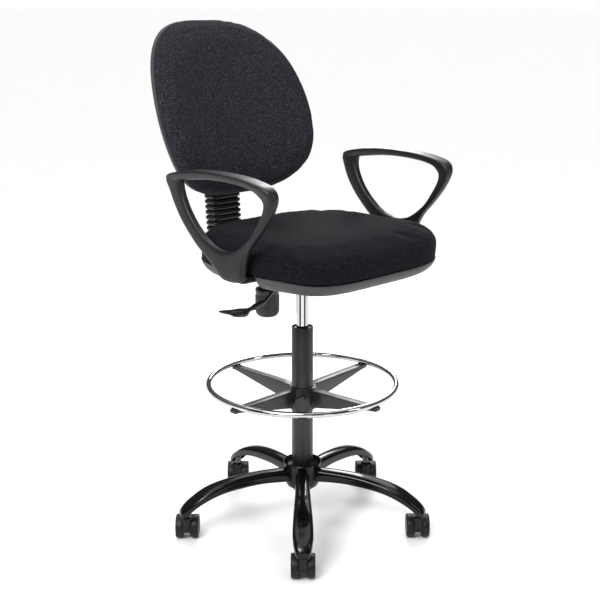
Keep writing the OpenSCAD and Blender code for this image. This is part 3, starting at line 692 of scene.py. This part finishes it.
tk = lathe("tension_knob_finish", [(5.08, 496), (14, 496), (18, 496.5), (22, 498.2), (24.4, 500.6), (26, 504), (26.8, 509), (27.1, 515), (27.2, 530), (27.2, 545), (27.2, 550),
                                   (27.2, 553.5), (27.5, 554.6), (28.3, 555.6), (28.5, 557), (28.5, 562.5), (28.1, 564), (27.4, 564.8), (26, 565), (5.08, 565)],
           centre=(0, 119), n=240, radial=flutes, angle=45)
stand(tk, "tension_knob")
stand(lathe("tension_sleeve_finish", [(18, 565), (20.4, 565), (21, 565.6), (21, 582.2), (20.4, 583.3), (19.4, 583.6), (18, 583.2)], centre=(0, 119), angle=50), "tension_sleeve")

lp = spline([(6, 624), (-40, 624), (-52, 623.4), (-60, 619), (-86, 599.5), (-112, 580), (-122, 574), (-132, 571.2), (-150, 568)], 5)
rings = []
for k, p in enumerate(lp):
    d = lp[min(k + 1, len(lp) - 1)] - lp[max(k - 1, 0)]
    d = d / np.linalg.norm(d)
    t = np.linspace(0, 2 * math.pi, 20, endpoint=False)
    rings.append(np.stack([p[0] + 3.95 * np.cos(t) * d[1], 3.95 * np.sin(t), p[1] - 3.95 * np.cos(t) * d[0]], 1))
stand(loft("lever_rod", rings, angle=50), "height_lever")
grip_rows = spline([(-121, 574.4, 5.2, 5.2, 0), (-124, 573.6, 6.3, 6.3, 0), (-138, 570.7, 6.5, 6.5, 0), (-149, 568.3, 6.6, 6.4, 0), (-155, 567, 5.4, 5.0, 0),
                    (-162, 565.6, 5.6, 4.4, 0), (-169, 564.4, 8.5, 5.2, 0), (-176, 563.6, 14.0, 6.8, 0.1), (-184, 563.2, 19.5, 8.0, 0.3),
                    (-194, 563.6, 21.5, 8.2, 0.55), (-204, 564.8, 22.5, 7.4, 0.8), (-214, 566.4, 24.5, 6.8, 1.0), (-222, 568.0, 25, 6.0, 1.0), (-228, 569.2, 24.5, 4.6, 1.0), (-231, 569.8, 22, 2.0, 1.0)], 3)
rings = []
for x, z, w, h, notch in grip_rows:
    t = np.linspace(0, 2 * math.pi, 56, endpoint=False)
    c, s_ = sp(np.cos(t), 2 / 2.6), sp(np.sin(t), 2 / 2.4)
    dip = np.exp(-(c / 0.52) ** 2) - 0.25 * np.abs(c) ** 3
    rings.append(np.stack([np.full(56, x) + 13 * notch * dip, w * c, z + h * s_ * (1 - 0.35 * notch * np.exp(-(c / 0.5) ** 2)) - 2.0 * notch * (1 - np.abs(c))], 1))
gp = loft("lever_paddle", rings, angle=60)
use_modifier(gp, "SUBSURF", levels=1, render_levels=1)
baked(gp)
gp.data.shade_smooth()
stand(gp, "lever_grip")

# ------------------------------------------------------------------ bar, boot, bracket
clone("back_bar", 1.2)
clone("back_bracket", 1.0)
up_y = 217 + 52 * math.cos(math.radians(4))
up_z = 600 + 52 - 52 * math.sin(math.radians(4))


def up_c(z):
    return up_y + (z - up_z) * math.tan(math.radians(4))


rings = []
z0, z1, pleats = 672.0, 775.2, 8
pitch = (z1 - z0) / pleats
for k in range(pleats * 12 + 1):
    z = z0 + (z1 - z0) * k / (pleats * 12)
    ph = (z - z0) / pitch % 1.0
    b = math.sqrt(max(0.0, 1 - (2 * ph - 1) ** 2))
    t = np.linspace(0, 2 * math.pi, 72, endpoint=False)
    hx, hy = 38 + 6.2 * b, 14.2 + 5.6 * b
    rings.append(np.stack([hx * sp(np.cos(t), 2 / 9), up_c(z) + hy * sp(np.sin(t), 2 / 6), np.full(72, z)], 1))
inner = [np.stack([32 * sp(np.cos(t), 2 / 6), up_c(z) + 7.5 * sp(np.sin(t), 2 / 5), np.full(72, z)], 1) for z in (z1, (z0 + z1) / 2, z0)]
boot = loft("boot_pleats", rings + inner, loop=True, angle=45)
boot.data.materials.append(M["boot_rubber"])
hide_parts("bellows")
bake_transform(boot)

# ------------------------------------------------------------------ stage
me = bpy.data.meshes.new("floor")
me.from_pydata([(-300, -300, -0.0006), (300, -300, -0.0006), (300, 300, -0.0006), (-300, 300, -0.0006)], [], [(0, 1, 2, 3)])
floor = link("floor", me)
fm = material("floor_paper", (0.93, 0.93, 0.93), 0.9, spec=0.1, noise=(3, 0.99, 1.01))
floor.data.materials.append(fm)

w = bpy.data.worlds.new("studio")
scene.world = w
w.use_nodes = True
nt = w.node_tree
bg = nt.nodes["Background"]
tc = nt.nodes.new("ShaderNodeTexCoord")
sx = nt.nodes.new("ShaderNodeSeparateXYZ")
rp = nt.nodes.new("ShaderNodeValToRGB")
nt.links.new(tc.outputs["Generated"], sx.inputs[0])
nt.links.new(sx.outputs["Z"], rp.inputs["Fac"])
stops = [(0.0, 1.0), (0.012, 1.0), (0.03, 0.12), (0.3, 0.10), (0.6, 0.2), (0.85, 0.4)]
while len(rp.color_ramp.elements) < len(stops):
    rp.color_ramp.elements.new(0.5)
for e, (p, c) in zip(rp.color_ramp.elements, stops):
    e.position = p
    e.color = (c, c, c, 1)
nt.links.new(rp.outputs["Color"], bg.inputs["Color"])
bg.inputs["Strength"].default_value = 1.0


def area(name, loc, target, size, power, size_y=None):
    l = bpy.data.lights.new(name, "AREA")
    l.energy = power
    l.shape = "RECTANGLE"
    l.size = size
    l.size_y = size_y or size
    o = bpy.data.objects.new(name, l)
    o.location = loc
    o.rotation_euler = (Vector(target) - Vector(loc)).to_track_quat("-Z", "Y").to_euler()
    scene.collection.objects.link(o)


area("key", (-2.4, -0.9, 2.3), (0, 0, 0.6), 1.5, 55, 0.5)
area("rim", (1.9, 1.5, 2.0), (0, 0, 0.6), 0.5, 30, 1.6)
area("front", (0.9, -2.6, 1.7), (0, 0, 0.5), 0.4, 14, 1.6)


def sun(name, direction, strength, angle):
    l = bpy.data.lights.new(name, "SUN")
    l.energy = strength
    l.angle = math.radians(angle)
    o = bpy.data.objects.new(name, l)
    o.rotation_euler = Vector(direction).to_track_quat("Z", "Y").to_euler()
    scene.collection.objects.link(o)


sun("sky_left", (-0.75, -0.25, 0.8), 1.1, 40)
sun("sky_top", (0.05, 0.1, 1.0), 1.25, 60)
sun("sky_right", (0.7, 0.5, 0.75), 0.7, 40)


def flag(name, angle, dist, width, height):
    """A dark card that only reflections see, to draw lines on bright metal."""
    a = math.radians(angle)
    c = Vector((math.cos(a) * dist, math.sin(a) * dist, 0))
    t = Vector((-math.sin(a), math.cos(a), 0)) * width / 2
    up = Vector((0, 0, height))
    me = bpy.data.meshes.new(name)
    me.from_pydata([c - t, c + t, c + t + up, c - t + up], [], [(0, 1, 2, 3)])
    o = link(name, me)
    o.data.materials.append(card)
    o.visible_camera = o.visible_shadow = o.visible_diffuse = o.visible_transmission = False


card = material("card", (0.02, 0.02, 0.022), 0.9, spec=0.0, noise=(2, 0.95, 1.05))
flag("flag_a", -178, 1.5, 0.9, 1.3)
flag("flag_b", -118, 2.3, 0.5, 1.0)
flag("flag_c", -88, 1.5, 0.8, 1.3)

cam = bpy.data.cameras.new("camera")
cam.sensor_width = 36
cam.lens = 1122.9 / 600 * 36
cam.shift_x = -0.00395
cam.clip_start = 0.05
cam.clip_end = 2000
co_ = bpy.data.objects.new("camera", cam)
co_.location = (-1.7523, -1.7831, 1.214)
co_.rotation_euler = (math.radians(75.28), 0, math.radians(-44.5))
scene.collection.objects.link(co_)
scene.camera = co_
scene.view_settings.view_transform = "Standard"
scene.view_settings.look = "None"
scene.view_settings.exposure = 0.0
scene.view_settings.gamma = 1.0
